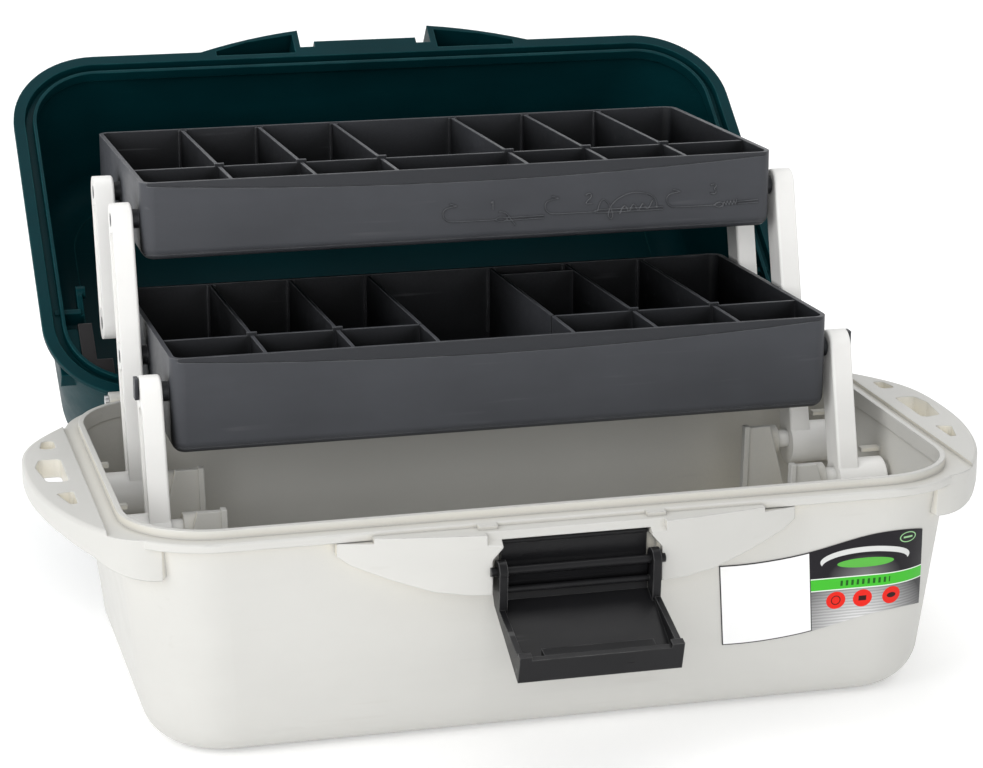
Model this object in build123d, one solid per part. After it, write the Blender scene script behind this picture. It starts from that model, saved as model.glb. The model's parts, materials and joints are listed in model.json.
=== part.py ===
"""Fishing tackle box with two cantilever trays, stored with its lid open and its trays raised.

Frame: millimetres, X along the box, Y from the front to the back, Z up.
The origin is the centre of the tub's flat bottom, on the ground.
"""
from build123d import *
import math
import os

# ---------------------------------------------------------------- driving dimensions
RIM_HALF_X = 180.0          # ledge round the tub, half of its length
RIM_HALF_Y = 104.0          # ledge round the tub, half of its depth
RIM_CORNER = 43.0           # plan radius of the ledge corners
LEDGE_Z = 96.0              # top of the ledge, where the lid rests
LEDGE_BOTTOM_Z = 92.6
LIP_Z = 99.5                # top of the upright lip inside the ledge
LIP_OUT = 6.3               # lip's outer face, in from the ledge edge
LIP_IN = 8.6
WALL_OUT = 5.0              # tub wall's outer face at the ledge, in from the ledge edge
WALL = 2.8                  # tub wall thickness
FLOOR = 2.6
TUB_FOOT_HALF_X = 164.0
TUB_FOOT_HALF_Y = 89.0
TUB_FOOT_CORNER = 33.0
TUB_FOOT_FILLET = 19.0
GRIP_TOP_Z = 97.6           # top of the two end handles
GRIP_BOTTOM_Z = 77.0        # lowest part of their skirts, on the front corners

HINGE_Y = 105.3             # lid hinge axis
HINGE_Z = 96.6
HINGE_TUB_KNUCKLES = ((-155, -147), (-134.5, -126.5), (126.5, 134.5), (147, 155))
HINGE_LID_KNUCKLES = ((-146.5, -135), (135, 146.5))
KNUCKLE_R = 4.0
HINGE_PIN_R = 1.5
HINGE_BORE_R = 1.55
LID_OPEN = 142.0            # degrees from closed to the stored, open place
LID_FACE = 5.4              # rim to the lid wall's inner face
LID_WALL = 2.4
LID_GAP = 0.4               # air between the closed lid and the ledge
LID_TOP_Z = 182.6           # top of the closed lid
LID_TOP_HALF_X = 165.5
LID_TOP_HALF_Y = 95.5
LID_TOP_CORNER = 46.0
LID_TOP_FILLET = 15.0

HANDLE_HALF_SPAN = 62.0     # carry handle pivots, each side of the middle
HANDLE_EYE_Y = 0.0
HANDLE_EYE_Z = LID_TOP_Z + 6.5
HANDLE_PIN_R = 2.0
HANDLE_BORE_R = 2.06
HANDLE_RISE = 30.0          # eye to the bar

ARM_THICK = 9.0
ARM_WIDTH = 14.5
ARM_INNER_X = 146.0         # face of the arms that looks at the trays
ARM_LEAN = 15.0             # degrees that the arms lean back in the stored place
PIVOT_PITCH = 60.0          # distance between the feet of the two arms on each side
FOOT_Z = 73.5               # height of the arms' foot pivots
FRONT_FOOT_Y = -13.0
LOWER_REACH = 57.0          # arm length from a foot to the lower tray's pivot
LONG_REACH = 116.0          # long arm, from its foot to the upper tray's pivot
PIN_R = 3.0
BORE_R = 3.06
HUB_R = 9.4                 # hub at an arm's foot
HUB_DROP = 2.1              # hub's middle, below the pivot
HUB_PIN_R = 4.0
HUB_BORE_R = 4.06

TRAY_HALF_X = 143.0
TRAY_DEPTH = 146.0
TRAY_CORNER = 6.0
TRAY_WALL = 2.0
TRAY_FLOOR = 2.0
TRAY_FALL = 4.2             # the rear rim is this much lower than the front rim
LOWER_TRAY_HEIGHT = 41.0
UPPER_TRAY_HEIGHT = 34.4
LOWER_PIVOT_DROP = 16.1     # the lower tray's pivots sit this far under its front edge
UPPER_PIVOT_DROP = 17.3
TRAY_PIVOT_BACK = 11.0      # front pivot, back from the tray's front face
FRONT_ROW = 36.0            # depth of the front row of small compartments
DIVIDER = 1.5
DIVIDER_X = (29.5, 66.0, 103.0)
DIVIDER_SUNK = 0.5          # divider tops under the tray rim

LATCH_Y = -115.0            # latch lever pivot
LATCH_Z = 79.4
LATCH_SLOPE = 16.7          # degrees that the open lever points below level
LATCH_HALF_X = 33.0
LATCH_PIN_R = 1.8
LATCH_BORE_R = 1.85

SIDES = {"left": -1, "right": 1}
LONG_FOOT_Y = FRONT_FOOT_Y + PIVOT_PITCH
LEDGE_FACE_Z = LEDGE_Z + LID_GAP


# ---------------------------------------------------------------- small helpers
def plan(half_x, half_y, corner, z):
    """Rounded rectangle in plan, centred on the origin at height z."""
    return Plane.XY.offset(z) * RectangleRounded(2 * half_x, 2 * half_y, corner)


def inset_plan(inset, z):
    """The ledge outline drawn in by inset."""
    return plan(RIM_HALF_X - inset, RIM_HALF_Y - inset, RIM_CORNER - inset, z)


def block(x0, x1, y0, y1, z0, z1):
    """Box between two corners."""
    centre = ((x0 + x1) / 2, (y0 + y1) / 2, (z0 + z1) / 2)
    return Pos(*centre) * Box(abs(x1 - x0), abs(y1 - y0), abs(z1 - z0))


def rod(radius, x0, x1, y, z):
    """Round bar along X."""
    return Pos((x0 + x1) / 2, y, z) * Rot(0, 90, 0) * Cylinder(radius, abs(x1 - x0))


def side_profile(points, x0, x1):
    """Polygon of (y, z) points, extruded from x0 to x1."""
    face = make_face(Polyline(*[(x0, y, z) for y, z in points], close=True))
    return extrude(face, amount=x1 - x0, dir=(1, 0, 0))


def front_profile(points, y0, y1):
    """Polygon of (x, z) points, extruded from y0 to y1."""
    face = make_face(Polyline(*[(x, y0, z) for x, z in points], close=True))
    return extrude(face, amount=y1 - y0, dir=(0, 1, 0))


def mirror_x(shape):
    return mirror(shape, about=Plane.YZ)


def both_ends(shape):
    """A right-hand shape with its left-hand twin."""
    return shape + mirror_x(shape)


def joined(shapes):
    """Union of a list of shapes."""
    total = shapes[0]
    for shape in shapes[1:]:
        total = total + shape
    return total


def along_arm(foot, reach):
    """Point at a distance up an arm that leans back from its foot."""
    lean = math.radians(ARM_LEAN)
    return (foot[0] + reach * math.sin(lean), foot[1] + reach * math.cos(lean))


# ---------------------------------------------------------------- pivots, as (y, z)
FRONT_FOOT = (FRONT_FOOT_Y, FOOT_Z)
LONG_FOOT = (LONG_FOOT_Y, FOOT_Z)
LOWER_FRONT_PIVOT = along_arm(FRONT_FOOT, LOWER_REACH)
LOWER_MID_PIVOT = along_arm(LONG_FOOT, LOWER_REACH)
LOWER_REAR_PIVOT = (LOWER_MID_PIVOT[0] + PIVOT_PITCH, LOWER_MID_PIVOT[1])
UPPER_FRONT_PIVOT = along_arm(LONG_FOOT, LONG_REACH)
UPPER_REAR_PIVOT = (UPPER_FRONT_PIVOT[0] + PIVOT_PITCH, UPPER_FRONT_PIVOT[1])
LOWER_TRAY_Y = LOWER_FRONT_PIVOT[0] - TRAY_PIVOT_BACK
LOWER_TRAY_Z = LOWER_FRONT_PIVOT[1] + LOWER_PIVOT_DROP
UPPER_TRAY_Y = UPPER_FRONT_PIVOT[0] - TRAY_PIVOT_BACK
UPPER_TRAY_Z = UPPER_FRONT_PIVOT[1] + UPPER_PIVOT_DROP


# ---------------------------------------------------------------- tub
def tub_body(inset, z0, z1, fillet_radius):
    """Drafted block inside the tub's outer face by inset, rounded at its foot."""
    slope_x = (RIM_HALF_X - WALL_OUT - TUB_FOOT_HALF_X) / LEDGE_BOTTOM_Z
    slope_y = (RIM_HALF_Y - WALL_OUT - TUB_FOOT_HALF_Y) / LEDGE_BOTTOM_Z
    slope_r = (RIM_CORNER - WALL_OUT - TUB_FOOT_CORNER) / LEDGE_BOTTOM_Z
    sections = []
    for z in (z0, z1):
        half_x = TUB_FOOT_HALF_X + slope_x * z - inset
        half_y = TUB_FOOT_HALF_Y + slope_y * z - inset
        sections.append(plan(half_x, half_y, TUB_FOOT_CORNER + slope_r * z - inset, z))
    body = loft(sections, ruled=True)
    return fillet(body.edges().group_by(Axis.Z)[0], fillet_radius)


def ledge():
    """Rounded ledge round the mouth of the tub."""
    slab = extrude(inset_plan(0, LEDGE_BOTTOM_Z), amount=LEDGE_Z - LEDGE_BOTTOM_Z)
    return fillet(slab.faces().sort_by(Axis.Z)[-1].edges(), 1.0)


def end_handle():
    """D-shaped lifting handle on the right end; its skirt deepens round the front corner."""
    outer_edge = Spline((172, 78), (184, 63), (193, 50), (199.5, 36), (203, 10), (202, -18),
                        (196, -48), (185, -75), (176, -87), (160.5, -92.6))
    inner_edge = Polyline((160.5, -92.6), (150, -80), (150, 60), (172, 78))
    outline = make_face([outer_edge, inner_edge])
    body = extrude(Plane.XY.offset(GRIP_BOTTOM_Z) * outline, amount=GRIP_TOP_Z - GRIP_BOTTOM_Z)
    body = fillet(body.faces().sort_by(Axis.Z)[-1].edges().sort_by(Axis.X)[-1:], 1.5)
    undercut = side_profile(
        [(100, 89.5), (-30, 89.5), (-55, 88.2), (-75, 85.6), (-87, 81.5), (-93, 79), (-120, 78.5),
         (-120, 70), (100, 70)], 140, 220
    )
    groove = block(140, RIM_HALF_X, -120, 120, LEDGE_Z, GRIP_TOP_Z + 1)
    return body - undercut - groove


def handle_holes():
    """The three finger holes in the right end handle."""
    outlines = (
        ((186.5, 34), (193.5, 34), (191.5, 45), (186.5, 47)),
        ((186.5, -14), (195.5, -12), (198, 9), (195.5, 19), (186.5, 19)),
        ((186.5, -44), (189.5, -44), (193.5, -29), (186.5, -27)),
    )
    holes = []
    for points in outlines:
        face = make_face(Polyline(*points, close=True))
        corner = 1.3 if points == outlines[2] else 2.4
        face = fillet(face.vertices(), corner)
        holes.append(extrude(Plane.XY.offset(70) * face, amount=35))
    return holes


def front_fairing():
    """Bulge under the front rim that frames the latch, with a shelf along its top."""
    half, crown, start_y = 94.0, RIM_HALF_Y + 12.5, -RIM_HALF_Y + 0.5
    arc = ThreePointArc((-half, start_y, 60), (0, -crown, 60), (half, start_y, 60))
    back = Polyline((half, start_y, 60), (half, -94, 60), (-half, -94, 60), (-half, start_y, 60))
    lens = extrude(make_face([arc, back]), amount=LEDGE_Z - 60)
    shelf_half, shelf_z, low_z = 80.0, 94.4, LEDGE_BOTTOM_Z - 0.4
    belly = [(-half, 87), (-89, 83.4), (-74, 77.4), (-57.5, 72), (-45, 70.2), (-35, 69.8)]
    points = belly + [(-x, z) for x, z in reversed(belly)]
    points += [(half, low_z), (shelf_half, low_z), (shelf_half, shelf_z)]
    points += [(-shelf_half, shelf_z), (-shelf_half, low_z), (-half, low_z)]
    return lens & front_profile(points, -130, -80)


def latch_recess():
    """Pocket in the fairing for the latch, with shouldered sides and a bevelled brow."""
    narrow = block(-30.4, 30.4, -130, -105.6, 60, 91.6)
    wide = front_profile([(-34.6, 60), (-34.6, 84), (-30.4, 89), (30.4, 89), (34.6, 84), (34.6, 60)],
                         -130, -105.6)
    brow = side_profile([(-106.5, 97), (-130, 97), (-130, 80), (-112.4, 91.6), (-110, 95)], -36.5, 36.5)
    return narrow + wide + brow


def latch_frame_ends():
    """Short raised ends of the ledge each side of the latch brow."""
    return both_ends(block(30.6, 38.4, -107.6, -103.0, 93.5, LEDGE_Z))


def arm_post(foot_y):
    """Gusset plate on the tub floor with a blind bearing behind it for an arm's stub, right side."""
    face_y = foot_y - 6.4
    plate = front_profile([(122.2, 1.5), (124.2, 82), (135.4, 82), (144.6, 46), (144.6, 1.5)],
                          face_y - 1.3, face_y + 1.3)
    bead = front_profile([(121.2, 1.5), (123.2, 82.6), (125.6, 82.6), (123.6, 1.5)],
                         face_y - 2.0, face_y + 2.0)
    boss = rod(6.6, 129, 140.6, foot_y, FOOT_Z)
    foot = front_profile([(127, 1.5), (129, 73.5), (139, 73.5), (141, 1.5)], face_y, foot_y + 1)
    bore = rod(HUB_BORE_R, 134.4, 146, foot_y, FOOT_Z)
    return plate + bead + boss + foot - bore


def wall_pivot(foot_y):
    """Pin on the right end wall that carries an arm's outer hub, with a small shelf above it."""
    pin = rod(HUB_PIN_R, 158, 171, foot_y, FOOT_Z)
    shelf = block(162, 172.5, foot_y + 8.4, foot_y + 12, 80.6, 82.6)
    return pin + shelf


def make_tub():
    handle = both_ends(end_handle())
    holes = joined(handle_holes())
    outside = tub_body(0, 0, LEDGE_BOTTOM_Z + 0.4, TUB_FOOT_FILLET) + ledge()
    outside += extrude(inset_plan(LIP_OUT, LEDGE_Z - 0.5), amount=LIP_Z - LEDGE_Z + 0.5)
    outside += front_fairing() + handle
    outside -= latch_recess()
    outside += latch_frame_ends()
    outside -= both_ends(holes)
    cavity = tub_body(WALL, FLOOR, LEDGE_BOTTOM_Z, TUB_FOOT_FILLET - WALL)
    mouth = extrude(inset_plan(LIP_IN, LEDGE_BOTTOM_Z - 0.5), amount=20)
    tub = outside - cavity - mouth
    for foot_y in (FRONT_FOOT_Y, LONG_FOOT_Y):
        tub += both_ends(arm_post(foot_y))
        tub += both_ends(wall_pivot(foot_y))
    tub -= hinge_room(HINGE_LID_KNUCKLES)
    for x0, x1 in HINGE_TUB_KNUCKLES:
        tub += tub_knuckle(x0, x1)
    return tub - hinge_bores()


# ---------------------------------------------------------------- lid hinge
def tub_knuckle(x0, x1):
    """Hinge eye on the tub's rear ledge."""
    web = block(x0, x1, RIM_HALF_Y - 9, HINGE_Y, HINGE_Z - KNUCKLE_R, HINGE_Z - 0.7)
    return web + rod(KNUCKLE_R, x0, x1, HINGE_Y, HINGE_Z)


def lid_knuckle(x0, x1):
    """Hinge eye on the lid's rear rim."""
    web = block(x0, x1, RIM_HALF_Y - 4.5, HINGE_Y, LEDGE_FACE_Z + 0.4, HINGE_Z + KNUCKLE_R)
    return web + rod(KNUCKLE_R, x0, x1, HINGE_Y, HINGE_Z)


def hinge_room(knuckles):
    """Air round the other half's hinge eyes."""
    return joined([rod(KNUCKLE_R + 0.5, x0 - 0.5, x1 + 0.5, HINGE_Y, HINGE_Z) for x0, x1 in knuckles])


def hinge_bores():
    """Bores for the two hinge pins."""
    return both_ends(rod(HINGE_BORE_R, 125.5, 160, HINGE_Y, HINGE_Z))


def make_hinge_pin(side):
    """Headed steel pin through three hinge eyes."""
    pin = rod(HINGE_PIN_R, 126.2, 156.4, HINGE_Y, HINGE_Z)
    pin += rod(2.6, 155.2, 156.8, HINGE_Y, HINGE_Z)
    return pin if side > 0 else mirror_x(pin)


# ---------------------------------------------------------------- lid, drawn closed
def lid_shell_block(inset, z_top, corner_fillet):
    """Drafted block of the closed lid, inside its outer face by inset."""
    rim = inset_plan(LID_FACE - LID_WALL + inset, LEDGE_FACE_Z)
    top = plan(LID_TOP_HALF_X - inset, LID_TOP_HALF_Y - inset, LID_TOP_CORNER - inset, z_top)
    body = loft([rim, top], ruled=True)
    return fillet(body.edges().group_by(Axis.Z)[-1], corner_fillet)


def lid_fairing():
    """Front bulge over the latch, which the latch closes onto."""
    half, crown, start_y = 85.0, RIM_HALF_Y + 14.5, -RIM_HALF_Y + 0.4
    arc = ThreePointArc((-half, start_y, LEDGE_FACE_Z), (0, -crown, LEDGE_FACE_Z),
                        (half, start_y, LEDGE_FACE_Z))
    back = Polyline((half, start_y, LEDGE_FACE_Z), (half, -90, LEDGE_FACE_Z),
                    (-half, -90, LEDGE_FACE_Z), (-half, start_y, LEDGE_FACE_Z))
    lens = extrude(make_face([arc, back]), amount=34)
    slope = side_profile([(-90, 90), (-125, 90), (-125, 116), (-113, 124), (-90, 131)], -half, half)
    return lens & slope


def latch_catch():
    """Tab in the fairing's notch with the ridge that the latch hooks over."""
    tab = block(-26, 26, -108.4, -100, LEDGE_FACE_Z, 122)
    ridge = side_profile([(-104, 113), (-118.6, 113), (-119.6, 116.5), (-118.6, 118.5), (-104, 122)],
                         -26, 26)
    return tab + ridge


def fairing_pocket():
    """Hollow behind the right wing of the lid's front fairing."""
    points = [(36.5, -113.6), (60, -109.6), (76, -104.4), (76, -101.4), (36.5, -101.4)]
    face = make_face(Polyline(*points, close=True))
    return extrude(Plane.XY.offset(80) * face, amount=36)


def seal_rib():
    """Rib inside the lid's rim that stands behind the tub's lip on the front and the ends."""
    rib = extrude(inset_plan(9.3, LEDGE_FACE_Z + 0.2), amount=5)
    rib -= extrude(inset_plan(10.9, LEDGE_FACE_Z - 1), amount=8)
    web = extrude(inset_plan(LID_FACE - 0.5, LEDGE_FACE_Z + 4.2), amount=1.6)
    web -= extrude(inset_plan(10.9, LEDGE_FACE_Z), amount=9)
    rear_gap = block(-147, 147, 60, 120, 90, 110)
    return rib + web - rear_gap


def roof_panel():
    """Shallow panel sunk into the inside of the lid's top."""
    sunk = plan(LID_TOP_HALF_X - 17, LID_TOP_HALF_Y - 17, LID_TOP_CORNER - 17, LID_TOP_Z - LID_WALL - 0.5)
    return extrude(sunk, amount=1.2)


def lid_lug():
    """Hooked lug on the right end wall, and the boss that carries the lift block."""
    web = block(161, 173.0, 49.6, 52.2, 99.8, 108.5)
    arm = side_profile([(37, 99.4), (42, 99.4), (52.2, 101.5), (52.2, 108.5), (47, 107), (38.5, 103.6)],
                       159.4, 162)
    disc = rod(3.0, 157.8, 162, 38.6, 101.6)
    boss = block(163, 173.5, 58, 84, 104, 112)
    return web + arm + disc + boss


def handle_eye(x):
    """Eye on the lid's top that holds one end of the carry handle."""
    cheeks = []
    for offset in (-6.5, 6.5):
        x0, x1 = x + offset - 1.5, x + offset + 1.5
        plate = rod(5.5, x0, x1, HANDLE_EYE_Y, HANDLE_EYE_Z)
        plate += block(x0, x1, -5.5, 5.5, LID_TOP_Z - 1, HANDLE_EYE_Z)
        cheeks.append(plate - rod(HANDLE_BORE_R, x0 - 0.5, x1 + 0.5, HANDLE_EYE_Y, HANDLE_EYE_Z))
    return joined(cheeks)


def make_lid():
    flange = extrude(inset_plan(0, LEDGE_FACE_Z), amount=2.4)
    lid = lid_shell_block(0, LID_TOP_Z, LID_TOP_FILLET) + flange + lid_fairing()
    lid -= block(-33.4, 33.4, -125, -104.9, 80, 140)
    lid += latch_catch()
    lid -= lid_shell_block(LID_WALL, LID_TOP_Z - LID_WALL, LID_TOP_FILLET - LID_WALL)
    lid -= roof_panel()
    lid -= both_ends(fairing_pocket())
    lid += seal_rib() + both_ends(lid_lug())
    lid -= hinge_room(HINGE_TUB_KNUCKLES)
    for x0, x1 in HINGE_LID_KNUCKLES:
        lid += lid_knuckle(x0, x1)
    lid -= hinge_bores()
    return lid + handle_eye(-HANDLE_HALF_SPAN) + handle_eye(HANDLE_HALF_SPAN)


def make_lift_block(side):
    """Block clipped to the lid beside the rear arm, with a foot that comes behind the arm."""
    strip = block(156.6, 163, 56, 84, 102.5, 113)
    foot = block(149.4, 161, 77, 85.5, 102.5, 113)
    body = strip + foot
    return body if side > 0 else mirror_x(body)


# ---------------------------------------------------------------- carry handle on the lid
def make_carry_handle():
    """Bail handle with a thick grip, drawn standing up from the closed lid."""
    pieces = []
    for x in (-HANDLE_HALF_SPAN, HANDLE_HALF_SPAN):
        eye = rod(4.6, x - 4.4, x + 4.4, HANDLE_EYE_Y, HANDLE_EYE_Z)
        eye -= rod(HANDLE_BORE_R, x - 6, x + 6, HANDLE_EYE_Y, HANDLE_EYE_Z)
        leg = block(x - 3.6, x + 3.6, -3.4, 3.4, HANDLE_EYE_Z + 4, HANDLE_EYE_Z + HANDLE_RISE)
        pieces += [eye, fillet(leg.edges().filter_by(Axis.Z), 1.5)]
    top_z = HANDLE_EYE_Z + HANDLE_RISE
    bar = block(-HANDLE_HALF_SPAN - 3.6, HANDLE_HALF_SPAN + 3.6, -5, 5, top_z - 4, top_z + 6)
    grip = block(-44, 44, -7.5, 7.5, top_z - 6, top_z + 8.5)
    pieces += [fillet(bar.edges().filter_by(Axis.X), 3.6), fillet(grip.edges().filter_by(Axis.X), 5.5)]
    return joined(pieces)


def make_handle_pin(side):
    """Pin through one end of the carry handle."""
    x = HANDLE_HALF_SPAN
    pin = rod(HANDLE_PIN_R, x - 8.6, x + 8.6, HANDLE_EYE_Y, HANDLE_EYE_Z)
    pin += rod(3.4, x + 8.1, x + 9.6, HANDLE_EYE_Y, HANDLE_EYE_Z)
    return pin if side > 0 else mirror_x(pin)


# ---------------------------------------------------------------- trays
def tray_block(inset, front_y, z0, z1):
    """Upright block of a tray, inside its outer face by inset."""
    size_x, size_y = 2 * (TRAY_HALF_X - inset), TRAY_DEPTH - 2 * inset
    outline = RectangleRounded(size_x, size_y, TRAY_CORNER - inset)
    return extrude(Pos(0, front_y + TRAY_DEPTH / 2, z0) * outline, amount=z1 - z0)


def above_rim(front_y, top_z, sunk=0.0):
    """Everything above the rim plane, which falls from the front row to the back."""
    row_y, rear_y = front_y + FRONT_ROW, front_y + TRAY_DEPTH
    row_z = top_z - 0.8 - sunk
    front_z, rear_z = top_z - sunk, top_z - TRAY_FALL - sunk
    return side_profile([(front_y - 9, front_z), (front_y + 9, front_z), (row_y, row_z), (rear_y, rear_z),
                         (rear_y + 9, rear_z), (rear_y + 9, top_z + 20), (front_y - 9, top_z + 20)],
                        -160, 160)


def front_band(front_y, top_z):
    """Shallow cut above an arc, across the upper part of the tray's front."""
    half, depth = TRAY_HALF_X + 2, 0.9
    arc_end, arc_mid, top = top_z - 1.2, top_z - 6.4, top_z + 5
    arc = ThreePointArc((half, front_y - 5, arc_end), (0, front_y - 5, arc_mid), (-half, front_y - 5, arc_end))
    sides = Polyline((-half, front_y - 5, arc_end), (-half, front_y - 5, top),
                     (half, front_y - 5, top), (half, front_y - 5, arc_end))
    return extrude(make_face([arc, sides]), amount=5 + depth, dir=(0, 1, 0))


def foot_groove(front_y, floor_z):
    """Fine groove round the foot of the tray's front, which leaves a thin lip below it."""
    z0, z1 = floor_z + 2.2, floor_z + 3.1
    ring = tray_block(-2, front_y, z0, z1) - tray_block(0.7, front_y, z0 - 1, z1 + 1)
    return ring & block(-160, 160, front_y - 5, front_y + 10, z0 - 1, z1 + 1)


def tray_pins(pivots):
    """Pins on both ends of a tray, flush with the arms that turn on them."""
    pins = []
    for y, z in pivots:
        pins.append(rod(PIN_R, TRAY_HALF_X - 2, 154.8, y, z) + rod(4.2, TRAY_HALF_X - 2, 145.6, y, z))
    return both_ends(joined(pins))


def pin_tab(y, z):
    """Flat tab on the end of a pin, over the arm's outer face."""
    tab = block(ARM_INNER_X + ARM_THICK + 0.3, 156.9, y - 2.4, y + 2.4, z - 2.4, z + 6.6)
    return tab + rod(PIN_R - 0.6, 154, 156.9, y, z)


def slot_guides(front_y, top_z, floor_z):
    """Upright ribs on the rear wall, one pair for each cross divider."""
    wall_y = front_y + TRAY_DEPTH - TRAY_WALL
    ribs = []
    for x in DIVIDER_X:
        for centre in (x, -x):
            for offset in (-1.4, 1.4):
                ribs.append(block(centre + offset - 0.5, centre + offset + 0.5, wall_y - 1.3, wall_y + 0.5,
                                  floor_z + 6, top_z - TRAY_FALL - 0.4))
    return joined(ribs)


def make_tray(front_y, top_z, height, pivots):
    """Open tray with a sloping rim, pins on its ends and divider guides at the back."""
    floor_z = top_z - height
    outside = tray_block(0, front_y, floor_z, top_z)
    rear_foot = outside.edges().group_by(Axis.Z)[0].sort_by(Axis.Y)[-1:]
    outside = fillet(rear_foot, 5.0) - foot_groove(front_y, floor_z)
    outside += tray_pins(pivots)
    cavity = tray_block(TRAY_WALL, front_y, floor_z + TRAY_FLOOR, top_z + 1)
    tray = outside - cavity - above_rim(front_y, top_z) - front_band(front_y, top_z)
    return tray + slot_guides(front_y, top_z, floor_z)


def tray_room(front_y, top_z, height):
    """Inside of a tray up to the tops of its dividers."""
    room = tray_block(TRAY_WALL + 0.05, front_y, top_z - height + TRAY_FLOOR, top_z + 1)
    return room - above_rim(front_y, top_z, DIVIDER_SUNK)


def cross_dividers(front_y, top_z, height):
    """Upright plates across a tray, in front of and behind the lengthwise divider."""
    room = tray_room(front_y, top_z, height)
    split_y, rear_y = front_y + FRONT_ROW, front_y + TRAY_DEPTH - TRAY_WALL - 0.05
    plates = []
    for x in DIVIDER_X:
        for centre in (-x, x):
            x0, x1 = centre - DIVIDER / 2, centre + DIVIDER / 2
            front = block(x0, x1, front_y, split_y, top_z - height, top_z + 1)
            rear = block(x0, x1, split_y + DIVIDER, rear_y, top_z - height, top_z + 1)
            plates += [front & room, rear & room]
    return Compound(children=[plate.solid() for plate in plates])


def lengthwise_divider(front_y, top_z, height, x0, x1):
    """Plate along a tray behind the front row, with a small tab where each cross divider meets it."""
    split_y = front_y + FRONT_ROW
    room = tray_room(front_y, top_z, height)
    plate = block(x0, x1, split_y, split_y + DIVIDER, top_z - height, top_z + 1) & room
    for x in DIVIDER_X:
        for centre in (-x, x):
            if x0 + 4 < centre < x1 - 4:
                plate += block(centre - 2.2, centre + 2.2, split_y, split_y + DIVIDER, top_z - 5, top_z)
    return plate


def short_divider(front_y, top_z, height):
    """Small plate across the compartment right of the lower tray's middle, near its back."""
    x0 = DIVIDER_X[0] + DIVIDER / 2
    x1 = DIVIDER_X[1] - DIVIDER / 2
    y1 = front_y + TRAY_DEPTH - 16
    return block(x0, x1, y1 - DIVIDER, y1, top_z - height + TRAY_FLOOR, top_z - TRAY_FALL)


# ---------------------------------------------------------------- arms
def arm_blank(points):
    """Straight arm with round ends through (y, z) pivots, with a pocket in its outer face."""
    (y0, z0), (y1, z1) = points[0], points[-1]
    length = math.hypot(y1 - y0, z1 - z0)
    lean = math.atan2(y1 - y0, z1 - z0)
    body = extrude(SlotCenterToCenter(length, ARM_WIDTH), amount=ARM_THICK)
    pocket = SlotCenterToCenter(max(length - 20, 4), ARM_WIDTH - 5)
    body -= Pos(0, 0, 2.4) * extrude(pocket, amount=ARM_THICK)
    body = fillet(body.faces().sort_by(Axis.Z)[0].edges(), 1.2)
    # local X runs up the arm, local Z runs outwards along the box
    place = Plane(origin=(ARM_INNER_X, (y0 + y1) / 2, (z0 + z1) / 2),
                  x_dir=(0, math.sin(lean), math.cos(lean)), z_dir=(1, 0, 0))
    return Location(place) * body


def make_arm(points, side, trunnion):
    """One arm; trunnion adds the foot's hub and stub that turn in the tub."""
    arm = arm_blank(points)
    outer_x = ARM_INNER_X + ARM_THICK
    bored = points
    if trunnion:
        y, z = points[0]
        arm += rod(HUB_R, ARM_INNER_X + 0.1, 167.8, y, z - HUB_DROP)
        arm += rod(HUB_PIN_R, 135, ARM_INNER_X + 1, y, z)
        arm -= rod(HUB_BORE_R, 157.2, 170, y, z)
        bored = points[1:]
    for y, z in bored:
        arm += rod(ARM_WIDTH / 2 - 1.2, ARM_INNER_X + 0.1, outer_x, y, z)
        arm -= rod(BORE_R, ARM_INNER_X - 1, outer_x + 1, y, z)
    return arm if side > 0 else mirror_x(arm)


# ---------------------------------------------------------------- latch
def latch_point(u, v):
    """Latch lever point: u out along the lever from its pivot, v up from its inner face."""
    slope = math.radians(LATCH_SLOPE)
    y = LATCH_Y - u * math.cos(slope) - v * math.sin(slope)
    z = LATCH_Z - u * math.sin(slope) + v * math.cos(slope)
    return (y, z)


def lever_profile(points, x0, x1):
    """Polygon of latch lever points, extruded between two x."""
    return side_profile([latch_point(u, v) for u, v in points], min(x0, x1), max(x0, x1))


def make_latch_lever():
    """Latch lever: ears and bars at the pivot, then a shallow tray with a hooked front lip."""
    half = LATCH_HALF_X
    lever = lever_profile([(1, -13.2), (1, -16), (40, -24), (40, -13.8), (37.4, -13.8), (37.4, -21)],
                          -half, half)
    lever += lever_profile([(38, -13.8), (32.6, -14.2), (33.6, -17.2), (38, -18)], -22.5, 22.5)
    for sign in (-1, 1):
        outer = sign * half
        lever += lever_profile([(1, -13.2), (40, -13.8), (40, -24), (1, -16)], outer, sign * (half - 2.4))
        lever += lever_profile([(40, -12.2), (40, -18), (36.6, -18), (36.6, -12.2)], outer, sign * (half - 5))
        ear = [(-4.2, 0), (-3.6, -12), (0.5, -16), (8, -17), (7.5, -12.5), (4.6, 0)]
        lever += lever_profile(ear, outer, sign * (half - 3.4))
        x0, x1 = sorted((outer, sign * (half - 3.4)))
        lever += rod(4.6, x0, x1, LATCH_Y, LATCH_Z)
    mid_y, mid_z = latch_point(1.0, -8.4)
    lever += rod(1.3, -half + 1, half - 1, mid_y, mid_z)
    return lever - rod(LATCH_BORE_R, -half - 1, half + 1, LATCH_Y, LATCH_Z)


def make_latch_pin():
    """Pin that carries the lever, held by its ends in the sides of the tub's recess."""
    return rod(LATCH_PIN_R, -35.6, 35.6, LATCH_Y, LATCH_Z)


def make_latch_plate():
    """Black back plate in the tub's latch recess with a rolled top edge."""
    plate = side_profile([(-105.7, 71.5), (-108.2, 71.5), (-109.4, 91.2), (-105.7, 91.2)], -29.8, 29.8)
    return plate + rod(1.3, -29.8, 29.8, -109.3, 89.9)


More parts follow.
